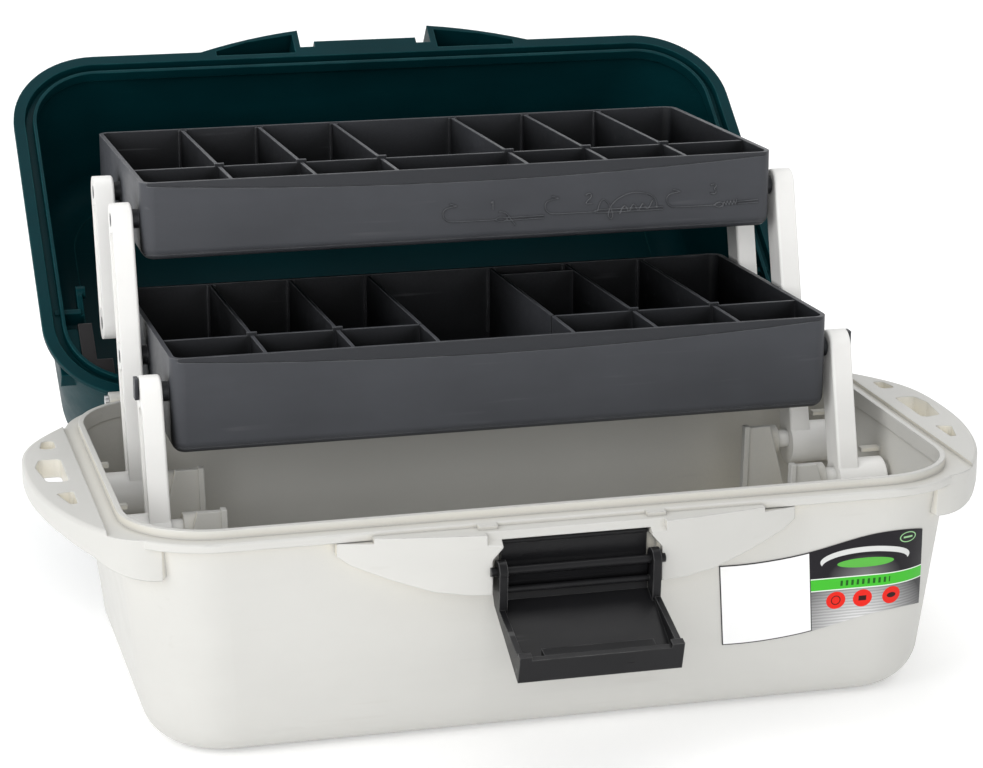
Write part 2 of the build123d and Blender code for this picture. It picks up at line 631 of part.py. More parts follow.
# ---------------------------------------------------------------- label on the tub front
def label_outline():
    """Label shape: S-curved long edges between two leaning ends, as (x, z) on the front."""
    corner_x, corner_z, length, height = 68.2, 31.3, 90.0, 35.8
    lean = math.radians(5.4)
    waves = ((0.0, 0.0), (20.0, -1.6), (40.5, -0.9), (65.0, 2.0), (length, -1.4))

    def place(u, v):
        x = corner_x + u * math.cos(lean) - v * math.sin(lean)
        z = corner_z + u * math.sin(lean) + v * math.cos(lean)
        return (x, -110, z)

    bottom = [place(u, v) for u, v in waves]
    top = [place(u, v + height) for u, v in waves]
    edges = [Spline(*bottom), Line(bottom[-1], top[-1]), Spline(*reversed(top)), Line(top[0], bottom[0])]
    return make_face(edges)


def make_front_label():
    """Thin adhesive label that follows the tub's front wall."""
    skin = tub_body(-0.35, 0, LEDGE_BOTTOM_Z, TUB_FOOT_FILLET + 0.35)
    skin -= tub_body(0, -1, LEDGE_BOTTOM_Z + 1, TUB_FOOT_FILLET)
    return skin & extrude(label_outline(), amount=60, dir=(0, 1, 0))


# ---------------------------------------------------------------- assembly
def opened(shape):
    """Turn a piece of the closed lid back to its stored, open place."""
    return shape.rotate(Axis((0, HINGE_Y, HINGE_Z), (1, 0, 0)), -LID_OPEN)


def hung(shape):
    """Let the carry handle hang straight down from the open lid."""
    return shape.rotate(Axis((0, HANDLE_EYE_Y, HANDLE_EYE_Z), (1, 0, 0)), LID_OPEN - 180)


def build_nodes():
    nodes = {"tub": make_tub()}
    nodes["lid"] = opened(make_lid())
    nodes["carry_handle"] = opened(hung(make_carry_handle()))
    for name, side in SIDES.items():
        nodes["hinge_pin_" + name] = make_hinge_pin(side)
        nodes["handle_pin_" + name] = opened(make_handle_pin(side))
        nodes["lift_block_" + name] = opened(make_lift_block(side))
        nodes["front_arm_" + name] = make_arm([FRONT_FOOT, LOWER_FRONT_PIVOT], side, True)
        nodes["long_arm_" + name] = make_arm([LONG_FOOT, LOWER_MID_PIVOT, UPPER_FRONT_PIVOT], side, True)
        nodes["rear_arm_" + name] = make_arm([LOWER_REAR_PIVOT, UPPER_REAR_PIVOT], side, False)
    lower = (LOWER_TRAY_Y, LOWER_TRAY_Z, LOWER_TRAY_HEIGHT)
    upper = (UPPER_TRAY_Y, UPPER_TRAY_Z, UPPER_TRAY_HEIGHT)
    lower_tray = make_tray(*lower, [LOWER_FRONT_PIVOT, LOWER_MID_PIVOT, LOWER_REAR_PIVOT])
    nodes["lower_tray"] = lower_tray + both_ends(pin_tab(*LOWER_FRONT_PIVOT))
    nodes["upper_tray"] = make_tray(*upper, [UPPER_FRONT_PIVOT, UPPER_REAR_PIVOT])
    inner_x = DIVIDER_X[0] + DIVIDER / 2
    nodes["upper_cross_dividers"] = cross_dividers(*upper)
    nodes["upper_long_divider"] = lengthwise_divider(*upper, -150, 150)
    nodes["lower_cross_dividers"] = cross_dividers(*lower)
    nodes["lower_long_divider_left"] = lengthwise_divider(*lower, -150, -inner_x)
    nodes["lower_long_divider_right"] = lengthwise_divider(*lower, inner_x, 150)
    nodes["lower_short_divider"] = short_divider(*lower)
    nodes["latch_lever"] = make_latch_lever()
    nodes["latch_pin"] = make_latch_pin()
    nodes["latch_plate"] = make_latch_plate()
    nodes["front_label"] = make_front_label()
    return nodes


def main():
    os.makedirs("parts", exist_ok=True)
    for name, shape in build_nodes().items():
        export_step(shape, "parts/" + name + ".step")


main()
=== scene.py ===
"""Looks of the fishing tackle box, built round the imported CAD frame."""
import json
import math

import bpy
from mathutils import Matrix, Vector


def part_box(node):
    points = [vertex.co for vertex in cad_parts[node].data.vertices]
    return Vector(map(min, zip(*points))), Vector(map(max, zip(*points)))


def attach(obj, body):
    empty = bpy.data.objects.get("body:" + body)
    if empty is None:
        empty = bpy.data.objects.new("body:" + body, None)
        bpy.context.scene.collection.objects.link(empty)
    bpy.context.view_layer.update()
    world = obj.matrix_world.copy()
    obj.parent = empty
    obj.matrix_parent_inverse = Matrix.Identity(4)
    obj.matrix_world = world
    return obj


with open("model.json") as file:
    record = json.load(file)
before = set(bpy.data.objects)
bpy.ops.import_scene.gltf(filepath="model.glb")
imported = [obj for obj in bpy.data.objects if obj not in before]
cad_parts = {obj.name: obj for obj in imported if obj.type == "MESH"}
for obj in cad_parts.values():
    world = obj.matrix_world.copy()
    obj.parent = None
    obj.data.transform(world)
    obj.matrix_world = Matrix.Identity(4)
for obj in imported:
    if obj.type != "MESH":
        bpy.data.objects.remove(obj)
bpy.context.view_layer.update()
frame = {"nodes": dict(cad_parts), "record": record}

# ---------------------------------------------------------------- driving values, in metres and degrees
CAMERA_PLACE = (-0.3042, -1.1485, 0.4526)
CAMERA_DOWN = 15.55
CAMERA_TURN = 14.59
CAMERA_LENS = 106.26                 # in mm, on a sensor 36 mm wide

FLOOR_HALF_WIDTH = 4.0
FLOOR_FRONT = -3.0
FLOOR_BACK = 1.6                     # the flat part ends here and the sweep begins
SWEEP_RADIUS = 0.9
SWEEP_STEPS = 24
SWEEP_TOP = 3.2

LIGHT_TARGET = (0, 0.05, 0.1)
AREA_LIGHTS = (                      # name, place, size, power in W
    ("front", (-0.45, -1.75, 0.62), (1.0, 0.7), 10),
    ("left", (-1.7, -0.8, 0.9), (1.2, 1.2), 16),
    ("top", (0.1, 0.6, 2.0), (1.6, 1.2), 12),
)

HOLLOW_REACH = 0.06                  # how far a hollow looks for the walls round it
CREVICE_REACH = 0.0025

# The arc below bounds the band of painted shade on the tray fronts.
ARC_DROP = 6.4e-3                    # tray front: the arc's lowest point, below the rim
ARC_RISE = 5.2e-3                    # and how much higher it is at ARC_HALF_X
ARC_HALF_X = 0.145

LABEL_CORNER = (0.0682, 0.0313)      # lower left corner of the label, as (x, z)
LABEL_LENGTH = 0.090
LABEL_HEIGHT = 0.0358
LABEL_LEAN = 5.4
LABEL_SPLIT = 0.432                  # share of the label that stays white
LABEL_BORDER = 0.0004
LABEL_WAVE_STEPS = 12
PRINT_EDGE = 0.00008                 # half the width over which one printed colour turns into the next
PANEL_X = 0.1285                     # middle of the printed panel's arcs
BADGE = (0.1470, 0.0722)
DISC_XS = (0.1165, 0.1282, 0.1412)
DISC_Z = 0.0469
BAND_LOW, BAND_HIGH = 0.0519, 0.0569
BAND_RULE = 0.0004                   # width of the pale rule along each side of the band

KNOT_RADIUS = 0.00036

WEB_SLOPE = 16.7
WEB_HALF_X = 0.0294


def add_object(name, data):
    """Object in the scene for a camera, a light, a mesh or a curve."""
    made = bpy.data.objects.new(name, data)
    bpy.context.scene.collection.objects.link(made)
    return made


# ---------------------------------------------------------------- camera, floor and light
def make_camera():
    """Camera left of the middle and above the box, looking down at it."""
    data = bpy.data.cameras.new("camera")
    data.sensor_width = 36.0
    data.lens = CAMERA_LENS
    data.clip_start = 0.05
    data.clip_end = 20.0
    camera = add_object("camera", data)
    camera.location = CAMERA_PLACE
    camera.rotation_euler = (math.radians(90.0 - CAMERA_DOWN), 0.0, math.radians(-CAMERA_TURN))
    bpy.context.scene.camera = camera


def keep_colours_plain():
    """Standard view transform, so that whites stay white."""
    bpy.context.scene.view_settings.view_transform = "Standard"


def floor_material():
    material = bpy.data.materials.new("floor")
    material.use_nodes = True
    shader = material.node_tree.nodes["Principled BSDF"]
    shader.inputs["Base Color"].default_value = (0.93, 0.93, 0.93, 1)
    shader.inputs["Roughness"].default_value = 0.8
    shader.inputs["Emission Color"].default_value = (1, 1, 1, 1)
    shader.inputs["Emission Strength"].default_value = 0.25
    return material


def make_floor():
    """Pale sweep: a flat floor that curves up behind the object."""
    profile = [(FLOOR_FRONT, 0.0), (FLOOR_BACK, 0.0)]
    for step in range(1, SWEEP_STEPS + 1):
        angle = math.pi / 2 * step / SWEEP_STEPS
        y = FLOOR_BACK + SWEEP_RADIUS * math.sin(angle)
        z = SWEEP_RADIUS * (1 - math.cos(angle))
        profile.append((y, z))
    profile.append((FLOOR_BACK + SWEEP_RADIUS, SWEEP_TOP))
    verts = [(x, y, z) for y, z in profile for x in (-FLOOR_HALF_WIDTH, FLOOR_HALF_WIDTH)]
    faces = [(2 * i, 2 * i + 1, 2 * i + 3, 2 * i + 2) for i in range(len(profile) - 1)]
    mesh = bpy.data.meshes.new("floor")
    mesh.from_pydata(verts, [], faces)
    for polygon in mesh.polygons:
        polygon.use_smooth = True
    mesh.materials.append(floor_material())
    floor = add_object("floor", mesh)


def make_area_light(name, place, size, power):
    """Rectangular light that faces the middle of the object."""
    data = bpy.data.lights.new(name, "AREA")
    data.shape = "RECTANGLE"
    data.size, data.size_y = size
    data.energy = power
    light = add_object(name, data)
    light.location = place
    toward = Vector(LIGHT_TARGET) - Vector(place)
    light.rotation_euler = toward.to_track_quat("-Z", "Y").to_euler()


def make_lights():
    """Even white surroundings and three soft area lights."""
    world = bpy.data.worlds.new("studio")
    bpy.context.scene.world = world
    world.use_nodes = True
    background = world.node_tree.nodes["Background"]
    background.inputs["Color"].default_value = (1, 1, 1, 1)
    background.inputs["Strength"].default_value = 0.62
    for name, place, size, power in AREA_LIGHTS:
        make_area_light(name, place, size, power)


# ---------------------------------------------------------------- shader helpers
class Graph:
    """Short calls for building one material's nodes."""

    def __init__(self, name):
        self.material = bpy.data.materials.new(name)
        self.material.use_nodes = True
        self.nodes = self.material.node_tree.nodes
        self.links = self.material.node_tree.links
        self.shader = self.nodes["Principled BSDF"]

    def node(self, kind, **values):
        made = self.nodes.new(kind)
        for key, value in values.items():
            setattr(made, key, value)
        return made

    def plug(self, value, socket):
        """Link a socket, or set a plain value."""
        if isinstance(value, bpy.types.NodeSocket):
            self.links.new(value, socket)
        else:
            socket.default_value = value

    def math(self, operation, *values, clamp=False):
        made = self.node("ShaderNodeMath", operation=operation, use_clamp=clamp)
        for value, socket in zip(values, made.inputs):
            self.plug(value, socket)
        return made.outputs[0]

    def highest(self, masks):
        """The highest of several masks, taken place by place."""
        total = masks[0]
        for mask in masks[1:]:
            total = self.math("MAXIMUM", total, mask)
        return total

    def place(self):
        """Place in the row frame, in metres."""
        return self.node("ShaderNodeTexCoord").outputs["Object"]

    def split(self, vector):
        made = self.node("ShaderNodeSeparateXYZ")
        self.links.new(vector, made.inputs[0])
        return made.outputs

    def stretch(self, vector, scale, turn=(0, 0, 0)):
        made = self.node("ShaderNodeMapping")
        self.links.new(vector, made.inputs["Vector"])
        made.inputs["Scale"].default_value = scale
        made.inputs["Rotation"].default_value = turn
        return made.outputs[0]

    def noise(self, vector, scale, detail=3.0, roughness=0.5):
        made = self.node("ShaderNodeTexNoise")
        self.links.new(vector, made.inputs["Vector"])
        made.inputs["Scale"].default_value = scale
        made.inputs["Detail"].default_value = detail
        made.inputs["Roughness"].default_value = roughness
        return made.outputs["Fac"]

    def ramp(self, value, low, high, start=0.0, end=1.0):
        """Map low..high of a value to start..end, clamped."""
        made = self.node("ShaderNodeMapRange", clamp=True)
        self.plug(value, made.inputs["Value"])
        made.inputs["From Min"].default_value = low
        made.inputs["From Max"].default_value = high
        made.inputs["To Min"].default_value = start
        made.inputs["To Max"].default_value = end
        return made.outputs["Result"]

    def mix(self, factor, first, second):
        """First colour where the factor is 0, second colour where it is 1."""
        made = self.node("ShaderNodeMix", data_type="RGBA")
        self.plug(factor, made.inputs["Factor"])
        for value, socket in ((first, made.inputs[6]), (second, made.inputs[7])):
            if not isinstance(value, bpy.types.NodeSocket):
                value = tuple(value[:3]) + (1.0,)
            self.plug(value, socket)
        return made.outputs[2]

    def bump(self, height, strength, distance, normal=None):
        made = self.node("ShaderNodeBump")
        self.plug(height, made.inputs["Height"])
        made.inputs["Strength"].default_value = strength
        made.inputs["Distance"].default_value = distance
        if normal is not None:
            self.links.new(normal, made.inputs["Normal"])
        return made.outputs[0]

    def hollows(self, own_shape_only):
        """High down inside compartments and other hollow places, where a painted colour stands in for shade
        and for warm light bounced off the walls.
        """
        made = self.node("ShaderNodeAmbientOcclusion", samples=4, only_local=own_shape_only)
        made.inputs["Distance"].default_value = HOLLOW_REACH
        return self.ramp(made.outputs["AO"], 0.80, 0.35)

    def crevices(self):
        """High in fine grooves and inner corners, where the colour is darkened as painted shade."""
        made = self.node("ShaderNodeAmbientOcclusion", samples=3)
        made.inputs["Distance"].default_value = CREVICE_REACH
        return self.ramp(made.outputs["AO"], 0.86, 0.45)

    def soft_edges(self, radius):
        """Rounded normal across sharp edges, and a mask that is high on those edges."""
        bevel = self.node("ShaderNodeBevel", samples=4)
        bevel.inputs["Radius"].default_value = radius
        flat = self.node("ShaderNodeNewGeometry").outputs["Normal"]
        dot = self.node("ShaderNodeVectorMath", operation="DOT_PRODUCT")
        self.links.new(bevel.outputs[0], dot.inputs[0])
        self.links.new(flat, dot.inputs[1])
        return bevel.outputs[0], self.ramp(dot.outputs["Value"], 0.999, 0.93)


def scaled(color, factor):
    """The colour times a factor, no channel above 1."""
    return tuple(min(1.0, channel * factor) for channel in color[:3])


# ---------------------------------------------------------------- plastic and steel
def edge_wear_and_highlight(g, place, edge, crevice):
    """Patchy lighter edges, partly wear and partly painted highlight, and none in the crevices."""
    patches = g.ramp(g.noise(place, 90.0, detail=4.0), 0.35, 0.6, 0.35, 1.0)
    edge_tint = g.math("MULTIPLY", edge, patches)
    return g.math("MULTIPLY", edge_tint, g.math("SUBTRACT", 1.0, crevice))


def scratches(g, place):
    """Fine scratches in two directions, in patches."""
    strands = []
    for turn, scale in (((0.2, 0.3, 0.9), 260.0), ((0.5, 0.1, -0.6), 310.0)):
        strand = g.noise(g.stretch(place, (0.06, 1.0, 1.0), turn), scale, detail=1.0)
        strands.append(g.ramp(strand, 0.70, 0.76))
    patches = g.ramp(g.noise(place, 30.0, detail=2.0), 0.45, 0.62)
    return g.math("MULTIPLY", g.highest(strands), patches)


def band_shade_mask(g, place, nodes):
    """High on the trays' fronts, between the rim and the shallow arc below it, where the colour is darkened
    as painted shade.
    """
    x, y, z = g.split(place)
    bands = []
    for node in nodes:
        low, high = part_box(node)
        rise = g.math("MULTIPLY", g.math("MULTIPLY", x, x), ARC_RISE / ARC_HALF_X ** 2)
        arc = g.math("ADD", rise, high[2] - ARC_DROP)
        above_arc = g.ramp(g.math("SUBTRACT", z, arc), -0.0001, 0.0003)
        below_rim = g.math("LESS_THAN", z, high[2] + 0.0005)
        in_front = g.math("LESS_THAN", y, low[1] + 0.0012)
        bands.append(g.math("MULTIPLY", g.math("MULTIPLY", above_arc, below_rim), in_front))
    return g.highest(bands)


def moulded_plastic(name, color, roughness, mottle, gloss, edge_wear_and_highlight_color, edge_radius=0.0005, grain=0.5,
                    crevice_shade=0.6, hollow_shading_color=None, band_nodes=(), scratch_color=None,
                    scratch_amount=0.0):
    """Moulded plastic: uneven tone, fine grain, lighter edges that are partly wear and partly painted
    highlight, painted shade in compartments, grooves and the trays' front bands, and scratches where asked.

    A material with bands is the trays': its hollows count the dividers, which are nodes of their own.
    """
    g = Graph(name)
    place = g.place()
    cloud = g.noise(place, 14.0, detail=5.0, roughness=0.6)
    flow = g.noise(g.stretch(place, (0.35, 1.0, 1.6)), 46.0, detail=4.0, roughness=0.6)
    tone = g.math("ADD", g.math("MULTIPLY", cloud, 0.65), g.math("MULTIPLY", flow, 0.35))
    base = g.mix(g.ramp(tone, 0.35, 0.65), scaled(color, 1.0 - mottle), scaled(color, 1.0 + mottle))
    # Painted shade in the trays' compartments and painted warm bounce light inside the tub, down in the
    # hollow places.
    if hollow_shading_color is not None:
        base = g.mix(g.hollows(own_shape_only=not band_nodes), base, hollow_shading_color)
    rounded, edge = g.soft_edges(edge_radius)
    crevice = g.crevices()
    # Painted shade in fine grooves and inner corners.
    base = g.mix(crevice, base, scaled(color, crevice_shade))
    # Painted shade on the band above the arc of each tray front.
    if band_nodes:
        base = g.mix(band_shade_mask(g, place, band_nodes), base, scaled(color, 0.62))
    # Lighter edges, partly wear and partly painted highlight.
    base = g.mix(edge_wear_and_highlight(g, place, edge, crevice), base, edge_wear_and_highlight_color)
    if scratch_amount > 0:
        base = g.mix(g.math("MULTIPLY", scratches(g, place), scratch_amount), base, scratch_color)
    g.plug(base, g.shader.inputs["Base Color"])
    rough = g.ramp(flow, 0.3, 0.7, roughness - 0.05, roughness + 0.07)
    g.plug(rough, g.shader.inputs["Roughness"])
    waves = g.bump(cloud, 0.25, 0.0008, rounded)
    fine = g.noise(place, 2600.0, detail=2.0)
    g.plug(g.bump(fine, grain, 0.00006, waves), g.shader.inputs["Normal"])
    g.shader.inputs["Specular IOR Level"].default_value = gloss
    return g.material


def drawn_steel(name, color):
    """Steel rod with fine lines along its length, which is along X."""
    g = Graph(name)
    lines = g.noise(g.stretch(g.place(), (0.05, 1.0, 1.0)), 2200.0, detail=2.0)
    g.plug(g.mix(lines, scaled(color, 0.8), scaled(color, 1.2)), g.shader.inputs["Base Color"])
    g.plug(g.ramp(lines, 0.2, 0.8, 0.25, 0.45), g.shader.inputs["Roughness"])
    rounded, _ = g.soft_edges(0.0003)
    g.plug(g.bump(lines, 0.2, 0.00004, rounded), g.shader.inputs["Normal"])
    g.shader.inputs["Metallic"].default_value = 1.0
    return g.material


# ---------------------------------------------------------------- label: masks in metres on the front
def box_mask(g, u, v, low_u, high_u, low_v, high_v):
    """One inside a rectangle, with soft edges."""
    soft = PRINT_EDGE
    left = g.ramp(u, low_u - soft, low_u + soft)
    right = g.ramp(u, high_u - soft, high_u + soft, 1.0, 0.0)
    low = g.ramp(v, low_v - soft, low_v + soft)
    high = g.ramp(v, high_v - soft, high_v + soft, 1.0, 0.0)
    return g.math("MULTIPLY", g.math("MULTIPLY", left, right), g.math("MULTIPLY", low, high))


def oval_mask(g, x, z, centre, radius, squeeze=1.0, soft=PRINT_EDGE):
    """One inside an oval; a higher squeeze makes it flatter."""
    dx = g.math("SUBTRACT", x, centre[0])
    dz = g.math("MULTIPLY", g.math("SUBTRACT", z, centre[1]), squeeze)
    far = g.math("SQRT", g.math("ADD", g.math("MULTIPLY", dx, dx), g.math("MULTIPLY", dz, dz)))
    return g.ramp(far, radius - soft, radius + soft, 1.0, 0.0)


def name_shape(g, x, z):
    """Two nested arcs in place of a name: a thin silver crescent."""
    outer = oval_mask(g, x, z, (PANEL_X, 0.0645), 0.0200, 3.6)
    inner = oval_mask(g, x, z, (PANEL_X, 0.0625), 0.0192, 3.7)
    return g.math("SUBTRACT", outer, inner, clamp=True)


def badge_ring(g, x, z):
    """Small oval ring with a dash in it, in the upper right corner."""
    outer = oval_mask(g, x, z, BADGE, 0.0040, 1.7)
    inner = oval_mask(g, x, z, BADGE, 0.0035, 1.8)
    dash = box_mask(g, x, z, BADGE[0] - 0.0022, BADGE[0] + 0.0022, BADGE[1] - 0.0004, BADGE[1] + 0.0004)
    return g.math("ADD", g.math("SUBTRACT", outer, inner, clamp=True), dash, clamp=True)


def disc_marks(g, x, z):
    """Plain marks inside the three discs: a ring, a bar and an oval."""
    left, middle, right = DISC_XS
    outer = oval_mask(g, x, z, (left, DISC_Z), 0.0021)
    inner = oval_mask(g, x, z, (left, DISC_Z), 0.0017)
    ring = g.math("SUBTRACT", outer, inner, clamp=True)
    bar = box_mask(g, x, z, middle - 0.0017, middle + 0.0017, DISC_Z - 0.0011, DISC_Z + 0.0011)
    oval = oval_mask(g, x, z, (right, DISC_Z), 0.0021, 1.8)
    return g.math("ADD", g.math("ADD", ring, bar), oval, clamp=True)


# ---------------------------------------------------------------- label: its own axes
def label_wave():
    """Share along the label and how far its lower edge is off a straight line, from the CAD label."""
    lean = math.radians(LABEL_LEAN)
    found = {}
    for vertex in frame["nodes"]["front_label"].data.vertices:
        dx = vertex.co.x - LABEL_CORNER[0]
        dz = vertex.co.z - LABEL_CORNER[1]
        u = (dx * math.cos(lean) + dz * math.sin(lean)) / LABEL_LENGTH
        v = dz * math.cos(lean) - dx * math.sin(lean)
        if v < LABEL_HEIGHT / 2:
            step = round(u * LABEL_WAVE_STEPS)
            if step not in found or v < found[step][1]:
                found[step] = (u, v)
    return [found[step] for step in sorted(found)]


def label_axes(g, x, z):
    """Distance along the label, and up from the straight line under its wavy lower edge."""
    lean = math.radians(LABEL_LEAN)
    dx = g.math("SUBTRACT", x, LABEL_CORNER[0])
    dz = g.math("SUBTRACT", z, LABEL_CORNER[1])
    along = g.math("ADD", g.math("MULTIPLY", dx, math.cos(lean)), g.math("MULTIPLY", dz, math.sin(lean)))
    up = g.math("SUBTRACT", g.math("MULTIPLY", dz, math.cos(lean)), g.math("MULTIPLY", dx, math.sin(lean)))
    return along, up


def above_edge(g, along, up):
    """Height above the label's wavy lower edge."""
    lift, reach = 0.01, 0.02         # these bring the wave into a float curve's 0..1
    curve = g.node("ShaderNodeFloatCurve")
    points = curve.mapping.curves[0].points
    for index, (u, v) in enumerate(label_wave()):
        height = (v + lift) / reach
        if index < 2:
            points[index].location = (u, height)
        else:
            points.new(u, height)
    curve.mapping.update()
    g.links.new(g.math("DIVIDE", along, LABEL_LENGTH), curve.inputs["Value"])
    edge = g.math("SUBTRACT", g.math("MULTIPLY", curve.outputs[0], reach), lift)
    return g.math("SUBTRACT", up, edge)


# ---------------------------------------------------------------- label: print
def writing_field(g, along, level, ink):
    """White field with a thin border in ink."""
    split = LABEL_SPLIT * LABEL_LENGTH
    border = LABEL_BORDER
    field = box_mask(g, along, level, border, split - border, border, LABEL_HEIGHT - border)
    return g.mix(field, ink, (0.87, 0.87, 0.87))


def upper_panel(g, x, z, ink):
    """Dark panel with a soft glow, a silver crescent, a green lens and a badge."""
    glow = oval_mask(g, x, z, (PANEL_X, 0.0570), 0.006, 1.7, soft=0.013)
    panel = g.mix(g.ramp(glow, 0.1, 1.0), ink, (0.26, 0.26, 0.26))
    panel = g.mix(name_shape(g, x, z), panel, (0.62, 0.63, 0.62))
    lens = oval_mask(g, x, z, (PANEL_X, 0.0630), 0.0125, 6.0)
    panel = g.mix(lens, panel, (0.10, 0.42, 0.06))
    return g.mix(badge_ring(g, x, z), panel, (0.30, 0.55, 0.28))


def lower_panel(g, place, x, z):
    """Grey panel of fine level lines, with three red discs."""
    pale = g.math("POWER", oval_mask(g, x, z, (0.1270, 0.0340), 0.013, 1.1, soft=0.019), 0.8)
    waves = g.node("ShaderNodeTexWave", wave_type="BANDS", bands_direction="Z", wave_profile="SIN")
    g.links.new(place, waves.inputs["Vector"])
    waves.inputs["Scale"].default_value = 240.0
    waves.inputs["Distortion"].default_value = 1.4
    waves.inputs["Detail Scale"].default_value = 1.0
    net = g.ramp(waves.outputs["Fac"], 0.3, 0.7, 0.72, 1.0)
    panel = g.mix(g.math("MULTIPLY", pale, net), (0.03, 0.03, 0.032), (0.86, 0.86, 0.86))
    for disc_x in DISC_XS:
        disc = oval_mask(g, x, z, (disc_x, DISC_Z), 0.0042, 1.08)
        panel = g.mix(disc, panel, (0.72, 0.018, 0.010))
    return g.mix(disc_marks(g, x, z), panel, (0.03, 0.006, 0.006))


def green_band(g, x, z, panel):
    """Green band between two pale rules, with a row of ticks on it."""
    rules = box_mask(g, x, z, 0.0, 1.0, BAND_LOW - BAND_RULE, BAND_HIGH + BAND_RULE)
    panel = g.mix(rules, panel, (0.80, 0.86, 0.80))
    band = box_mask(g, x, z, 0.0, 1.0, BAND_LOW, BAND_HIGH)
    panel = g.mix(band, panel, (0.055, 0.46, 0.030))
    row = box_mask(g, x, z, 0.1180, 0.1400, 0.0532, 0.0556)
    ticks = g.math("GREATER_THAN", g.math("FRACT", g.math("MULTIPLY", x, 420.0)), 0.55)
    return g.mix(g.math("MULTIPLY", row, ticks), panel, (0.012, 0.10, 0.010))


def printed_label(name):
    """White writing field with a thin border, and a dark printed panel with a band and three discs."""
    g = Graph(name)
    place = g.place()
    x, _, z = g.split(place)
    along, up = label_axes(g, x, z)
    level = above_edge(g, along, up)
    ink = (0.012, 0.011, 0.014)
    below_band = box_mask(g, x, z, 0.0, 1.0, 0.0, BAND_LOW)
    panel = g.mix(below_band, upper_panel(g, x, z, ink), lower_panel(g, place, x, z))
    panel = green_band(g, x, z, panel)
    past_split = box_mask(g, along, level, LABEL_SPLIT * LABEL_LENGTH, 1.0, -1.0, 1.0)
    color = g.mix(past_split, writing_field(g, along, level, ink), panel)
    g.plug(color, g.shader.inputs["Base Color"])
    g.plug(g.ramp(g.noise(place, 60.0), 0.3, 0.7, 0.28, 0.40), g.shader.inputs["Roughness"])
    g.plug(g.bump(g.noise(place, 35.0, detail=2.0), 0.15, 0.0006), g.shader.inputs["Normal"])
    g.shader.inputs["Specular IOR Level"].default_value = 0.15
    return g.material


# ---------------------------------------------------------------- raised drawings on the upper tray
# Points are (x, drop below the tray's highest level), in mm. Digits are in shares of their height.
DIGITS = {
    1: ((-0.12, 0.7), (0.1, 1.0), (0.1, 0.6), (0.1, 0.0)),
    2: ((-0.3, 0.8), (-0.1, 1.0), (0.25, 0.95), (0.28, 0.65), (-0.1, 0.3), (-0.32, 0.0), (0.0, 0.0),
        (0.35, 0.0)),
    3: ((-0.28, 0.85), (0.0, 1.0), (0.3, 0.8), (0.0, 0.52), (0.3, 0.25), (0.0, 0.0), (-0.3, 0.14)),
}


def digit_line(number, middle, foot, height):
    """One digit as a single line that stands on its foot."""
    return [(middle + u * height, foot - v * height) for u, v in DIGITS[number]]


def hook_lines(start, level, length):
    """Fishing hook lying on its shank: the bend with the shank, then the barb."""
    tip = (start + 6.4, level - 7.0)
    bend = [tip, (start + 2.2, level - 6.6), (start, level - 5.0), (start + 0.2, level - 2.2),
            (start + 2.0, level - 0.4), (start + 4.6, level), (start + length / 2, level),
            (start + length, level)]
    barb = [tip, (start + 4.0, level - 8.2), (start + 3.0, level - 8.0)]
    return [bend, barb]


def coil_line(start, level, turns, pitch, rise):
    """Zigzag turns of line wrapped round the shank."""
    points = []
    for turn in range(turns):
        u = start + turn * pitch
        points += [(u, level + rise), (u + pitch / 2, level - rise)]
    return points


def first_knot():
    """Hook, small eye with two strands, and a tag end."""
    eye = [(13.6, 24.2), (15.1, 23.0), (18.0, 23.2), (19.6, 24.2), (17.6, 25.2), (15.1, 25.2), (13.6, 24.2)]
    upper_strand = [(17.6, 23.5), (25.6, 23.5), (36.0, 23.4)]
    lower_strand = [(17.6, 24.8), (25.6, 24.7), (36.0, 24.6)]
    tag_end = [(15.2, 20.8), (17.8, 20.5), (20.4, 23.7), (22.8, 27.2)]
    return hook_lines(-10.2, 24.2, 24.0) + [
        eye, upper_strand, lower_strand, tag_end, digit_line(1, 12.2, 19.6, 4.2)]


def second_knot():
    """Hook with two strands, a wide loop and coils."""
    upper_strand = [(59.0, 22.8), (62.0, 22.1), (70.0, 22.2), (91.5, 22.4)]
    lower_strand = [(59.0, 23.3), (62.0, 23.8), (91.5, 23.6)]
    loop = [(60.8, 22.9), (61.9, 18.1), (64.2, 17.5), (66.5, 20.7), (68.4, 25.5), (66.7, 27.1),
            (65.4, 24.5), (67.8, 19.0), (74.8, 15.3), (80.8, 15.1), (86.7, 17.1), (88.7, 20.7),
            (88.4, 22.9)]
    return hook_lines(36.4, 23.1, 24.0) + [
        upper_strand, lower_strand, loop, coil_line(71.0, 22.0, 4, 4.4, 2.8),
        digit_line(2, 56.6, 19.3, 4.8)]


def third_knot():
    """Hook with two strands, a small eye and tight coils."""
    upper_strand = [(126.5, 21.9), (130.5, 21.7), (136.4, 21.6)]
    lower_strand = [(126.5, 23.0), (130.5, 22.8), (136.4, 22.7)]
    eye = [(115.6, 23.0), (117.6, 21.2), (120.5, 22.8), (117.6, 24.6), (115.6, 23.0)]
    return hook_lines(93.0, 23.0, 23.0) + [
        upper_strand, lower_strand, eye, coil_line(119.6, 22.4, 5, 1.5, 1.8),
        digit_line(3, 115.2, 18.2, 5.2)]


def raised_drawing(name, lines, radius, material):
    """Thin raised lines, each through its own points, as one piece on the upper tray."""
    curve = bpy.data.curves.new(name, "CURVE")
    curve.dimensions = "3D"
    curve.bevel_depth = radius
    curve.bevel_resolution = 2
    for points in lines:
        spline = curve.splines.new("NURBS")
        spline.points.add(len(points) - 1)
        for target, point in zip(spline.points, points):
            target.co = (*point, 1.0)
        spline.use_endpoint_u = True
        spline.order_u = 3
        spline.resolution_u = 8
    curve.materials.append(material)
    drawing = add_object(name, curve)
    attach(drawing, "upper_tray")


